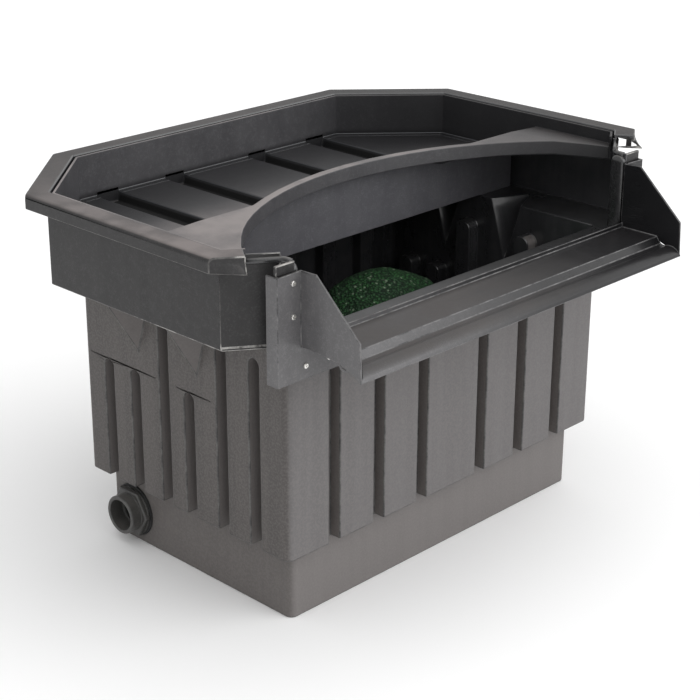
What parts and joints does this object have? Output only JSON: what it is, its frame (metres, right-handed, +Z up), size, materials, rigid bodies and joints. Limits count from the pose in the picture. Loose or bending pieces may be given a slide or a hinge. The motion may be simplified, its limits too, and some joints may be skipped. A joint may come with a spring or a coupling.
{
  "type": "pond filter box",
  "caption": "Open-topped waterfall filter box for a garden pond, with a ribbed tub, rock tray, lift-out filter media and a front spillway lip.",
  "frame": {"origin": "centre of the underside of the moulded base, on the ground", "axes": "+Z up; -Y out over the spillway; +X along the spillway, away from the inlet fitting"},
  "size_m": [1.118, 0.8717, 0.711],
  "materials": {
    "tub_plastic": "satin moulded polyethylene, light scuffing",
    "spillway_plastic": "smooth moulded ABS, scuffed edges",
    "gasket_rubber": "matt",
    "stainless": "bright stainless",
    "strip_plastic": "matt",
    "tray_plastic": "satin, dusty on flat faces",
    "screen_plastic": "satin",
    "grate_plastic": "matt, ribbed",
    "leg_pvc": "plain pipe",
    "mat_foam": "open fibre",
    "media_green": "coarse granular mesh",
    "fitting_pvc": "smooth PVC",
    "washer_nylon": "plain"
  },
  "bodies": {
    "box": {"tub": "tub_plastic", "spillway": "spillway_plastic", "spillway_gasket": "gasket_rubber", "spillway_screws": "stainless", "spillway_washers": "stainless", "spillway_nuts": "stainless", "backing_strip_left": "strip_plastic", "backing_strip_right": "strip_plastic", "backing_strip_bottom": "strip_plastic", "grate_legs": "leg_pvc", "inlet_fitting": "fitting_pvc", "inlet_gasket": "gasket_rubber", "inlet_washer": "washer_nylon", "inlet_nut": "fitting_pvc"},
    "tray": {"rock_tray": "tray_plastic", "tray_screen": "screen_plastic"},
    "media_bag": {"media_bag": "media_green"},
    "filter_mat_upper": {"filter_mat_upper": "mat_foam"},
    "filter_mat_lower": {"filter_mat_lower": "mat_foam"},
    "grate_left": {"grate_left": "grate_plastic"},
    "grate_right": {"grate_right": "grate_plastic"}
  },
  "joints": [
    {"name": "tray_lift", "type": "slide", "parent": "box", "child": "tray", "axis": [0, 0, 1], "range_m": [0, 1.2]},
    {"name": "bag_lift", "type": "slide", "parent": "box", "child": "media_bag", "axis": [0, 0, 1], "range_m": [0, 1.02]},
    {"name": "upper_mat_lift", "type": "slide", "parent": "box", "child": "filter_mat_upper", "axis": [0, 0, 1], "range_m": [0, 0.864]},
    {"name": "lower_mat_lift", "type": "slide", "parent": "box", "child": "filter_mat_lower", "axis": [0, 0, 1], "range_m": [0, 0.744]},
    {"name": "left_grate_lift", "type": "slide", "parent": "box", "child": "grate_left", "axis": [0, 0, 1], "range_m": [0, 0.624]},
    {"name": "right_grate_lift", "type": "slide", "parent": "box", "child": "grate_right", "axis": [0, 0, 1], "range_m": [0, 0.624]}
  ],
  "couplings": [
    {"joint": "bag_lift", "follows": "tray_lift", "ratio": 0.85},
    {"joint": "upper_mat_lift", "follows": "tray_lift", "ratio": 0.72},
    {"joint": "lower_mat_lift", "follows": "tray_lift", "ratio": 0.62},
    {"joint": "left_grate_lift", "follows": "tray_lift", "ratio": 0.52},
    {"joint": "right_grate_lift", "follows": "tray_lift", "ratio": 0.52}
  ]
}
